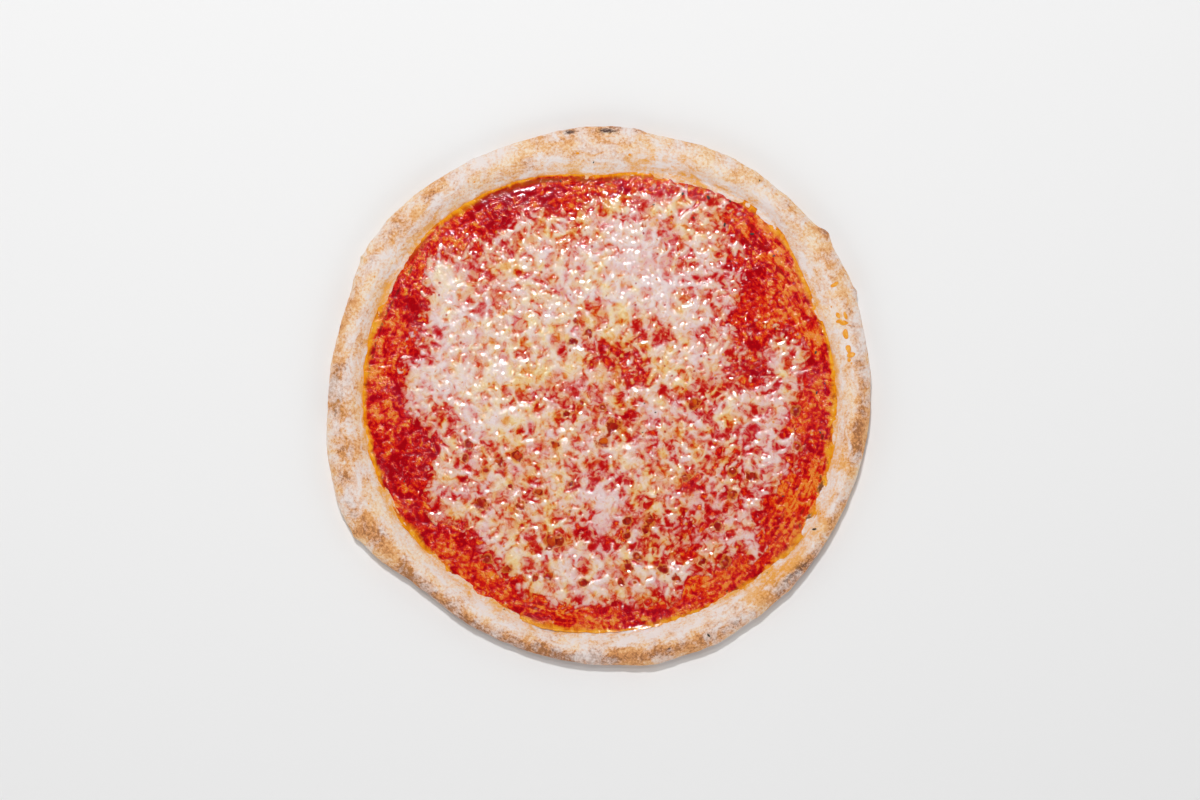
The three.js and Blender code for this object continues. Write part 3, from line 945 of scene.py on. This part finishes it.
blobLook = {
    "lengthWobble": 0.3,
    "widthWobble": 0.4,
    "wobbleSize": 0.6,
    "rise": 0.4,                 # of its own thickness, from the surface to its middle
}
bpy.context.view_layer.update()


def surfaceAt(x, y):
    # the height of the topmost piece at a place
    hits = [piece.ray_cast((x, y, 1), (0, 0, -1)) for piece in (crust, sauce, cheese)]
    return max([hit[1].z for hit in hits if hit[0]], default=0)


def makeBlobs(name, drops, thickness, level, seed):
    # flat drops with uneven outlines, which follow the surface under them: each (x, y, length, width)
    # in mm, and its turn in degrees
    bm = bmesh.new()
    for x, y, length, width, angle in drops:
        made = bmesh.ops.create_icosphere(bm, subdivisions=level, radius=0.5)["verts"]
        heading = math.radians(angle)
        places = np.array([vert.co for vert in made]) + (x, y, seed)
        for vert, wobble in zip(made, lumps(places, blobLook["wobbleSize"], seed)):
            ahead = vert.co.x * length * (1 + blobLook["lengthWobble"] * wobble)
            aside = vert.co.y * width * (1 + blobLook["widthWobble"] * wobble)
            placeX = (x + ahead * math.cos(heading) - aside * math.sin(heading)) * mm
            placeY = (y + ahead * math.sin(heading) + aside * math.cos(heading)) * mm
            height = surfaceAt(placeX, placeY) + (blobLook["rise"] + vert.co.z) * thickness
            vert.co = (placeX, placeY, height)
    return smoothObject(name, bm)


# oil and tomato juice in the pits

poolLook = {
    "length": 0.648,             # both of these are shares of the pit's width
    "width": 0.54,
    "twist": 37,                 # degrees, from each to the next
    "thickness": 0.4 * mm,
}


def cloudyTone(add, size, detail, stops):
    # a soft cloud, and the colours that follow it
    place = add("TexCoord", {}, {}, "Object")
    cloud = add("TexNoise", {}, {"Vector": place, "Scale": scaleFor(size), "Detail": detail})
    return cloud, add("ValToRGB", {"stops": stops}, {"Fac": cloud})


def poolMaterial():
    # oil and tomato juice that boiled in the pits: dark red-brown and mirror-smooth
    material, add = newMaterial("boiled oil and tomato")
    cloud, juice = cloudyTone(add, 4 * mm, 4, [(0.35, "#8E0609"), (0.5, "#B4220A"), (0.65, "#D05C0E")])
    finishSurface(add, juice, roughness=0.1, specular=0.6, bumps=[
        (0.5, 0.5 * mm, cloud),
    ])
    return material


pools = makeBlobs("blister_pools", [
    (x, y, width * poolLook["length"], width * poolLook["width"], poolLook["twist"] * number)
    for number, (x, y, width) in enumerate(pits)
], poolLook["thickness"], level=3, seed=5)
finishPiece(pools, poolMaterial(), None)


# smears and drops of sauce on the rim

smearLook = {
    "thickness": 0.3 * mm,
}
# (degrees round, and in mm the radius, the length along the rim and the width across it)
smears = [
    (18.6, 138, 4, 2.2), (17.3, 137.6, 2.4, 3), (16.6, 140, 2.6, 4.4), (18.2, 141.8, 4.6, 2),
    (14.1, 139.2, 5.4, 3), (10.6, 138.8, 4.6, 3), (9.2, 139.6, 3, 4), (8.2, 138.2, 2, 1.6),
    (25.3, 142.5, 2.2, 4.6), (82.8, 133, 1.5, 1.2), (95, 133.3, 2, 1.4), (120.2, 135.5, 1.3, 1),
    (21, 136.2, 1.4, 0.8), (7.4, 139.4, 1.2, 0.8), (332, 137.4, 1.2, 0.9), (205, 139, 1, 0.8),
    (152, 139, 1, 0.8),
]


def smearMaterial():
    # a thin film of tomato and oil that dried on the dough: orange, with a dull gloss
    material, add = newMaterial("dried tomato film")
    film = cloudyTone(add, 1 * mm, 2, [(0.3, "#E08A14"), (0.5, "#EA9A20"), (0.7, "#EEB04C")])[1]
    finishSurface(add, film, roughness=0.45, specular=0.4)
    return material


smearPieces = makeBlobs("sauce_smears", [
    (radius * math.cos(math.radians(at)), radius * math.sin(math.radians(at)), length, width, at + 90)
    for at, radius, length, width in smears
], smearLook["thickness"], level=3, seed=8)
finishPiece(smearPieces, smearMaterial(), None)


# dark flecks of dried herb in the sauce and on the cheese

fleckLook = {
    "thickness": 0.4 * mm,
    "width": 0.5,                # of each fleck's length
    "twist": 61,                 # degrees, from each to the next
}
# (x, y, length) in mm
flecks = [
    (84, 89, 2.4), (119, 24, 2), (121.5, -20, 1.8), (101, -55, 1.5), (-3, 128, 1.2), (60, 109, 2.8),
    (72, 107, 1.6), (119.5, 2, 2), (124, 7, 1.2), (118, -73, 2.4), (88, 118, 1.2), (-21, 118, 1.4),
    (30, 105, 1.5), (46, 111, 2), (58, 62, 1.2), (31, -9, 1.2), (97, 37, 1.2), (60, -131, 2.2),
    (-52, -117, 1), (69, 94, 2.2), (52, 98, 1.4), (96, 77, 1.6), (-107, -47, 1.2), (25, -4, 1),
    (24, -20, 1.2),
]


def fleckMaterial():
    # dried basil and a little soot: nearly black with a green cast, and dull
    material, add = newMaterial("dried basil")
    finishSurface(add, "#33291B", roughness=0.6, specular=0.4)
    return material


fleckPieces = makeBlobs("herb_flecks", [
    (x, y, length, fleckLook["width"] * length, fleckLook["twist"] * number)
    for number, (x, y, length) in enumerate(flecks)
], fleckLook["thickness"], level=2, seed=13)
finishPiece(fleckPieces, fleckMaterial(), None)


# the floor and the lights

studio = {
    "keyAngle": 100,             # degrees round from +X
    "keyHeight": 61,             # degrees up
    "keyDistance": 2.5,
    "keySize": 0.17,
    "keyPower": 32,
    "topHeight": 74,             # degrees up
    "topSize": 0.1,
    "topPower": 8,
    "fill": 0.98,
    "slant": 0.5,                # how much less fill comes from the key light's side
    "floor": "#EEEEEE",
    "floorReach": 6,
    "floorDrop": 0.1 * mm,
}


def makeFloor():
    bm = bmesh.new()
    bmesh.ops.create_grid(bm, x_segments=1, y_segments=1, size=studio["floorReach"])
    bmesh.ops.translate(bm, vec=(0, 0, -studio["floorDrop"]), verts=bm.verts)
    floor = smoothObject("floor", bm)
    material, add = newMaterial("matt white card")
    finishSurface(add, studio["floor"], roughness=0.9, specular=0.5)
    floor.data.materials.append(material)


def makeLamp(name, height, size, power):
    lamp = bpy.data.lights.new(name, "AREA")
    lamp.shape = "DISK"
    lamp.size = size
    lamp.energy = power
    holder = bpy.data.objects.new(name, lamp)
    across, up = math.radians(studio["keyAngle"]), math.radians(height)
    direction = np.array([math.cos(across) * math.cos(up), math.sin(across) * math.cos(up), math.sin(up)])
    holder.location = direction * studio["keyDistance"]
    holder.rotation_euler = (0, math.pi / 2 - up, across)
    bpy.context.scene.collection.objects.link(holder)


def makeRoom():
    # a pale wall low down, a wide band of soft light above it, and a dark ceiling over the camera, which
    # keeps a white veil off the wet surfaces
    world = bpy.data.worlds.new("soft room")
    world.use_nodes = True
    tree = world.node_tree
    heading = addNode(tree, "TexCoord", {}, {}, "Generated")
    up = addNode(tree, "SeparateXYZ", {}, {0: heading}, "Z")
    bands = addNode(tree, "ValToRGB", {"stops": [
        (0.08, "#EEEEEE"), (0.2, "#B4B4B4"), (0.34, "#FFFFFF"), (0.62, "#FFFFFF"), (0.7, "#444444"),
    ]}, {"Fac": up})
    # the side away from the key light is the brighter one
    across = addNode(tree, "SeparateXYZ", {}, {0: heading}, "Y")
    strength = addNode(tree, "Math", multiplyAdd, {
        0: across, 1: -studio["slant"] * studio["fill"], 2: studio["fill"]})
    sky = tree.nodes["Background"]
    tree.links.new(bands, sky.inputs["Color"])
    tree.links.new(strength, sky.inputs["Strength"])
    bpy.context.scene.world = world


makeFloor()
makeLamp("key", studio["keyHeight"], studio["keySize"], studio["keyPower"])
# a small weak lamp almost overhead, which wet surfaces catch as fine glints
makeLamp("top", studio["topHeight"], studio["topSize"], studio["topPower"])
makeRoom()
bpy.context.scene.view_settings.view_transform = "Standard"
print("floor and lights made")
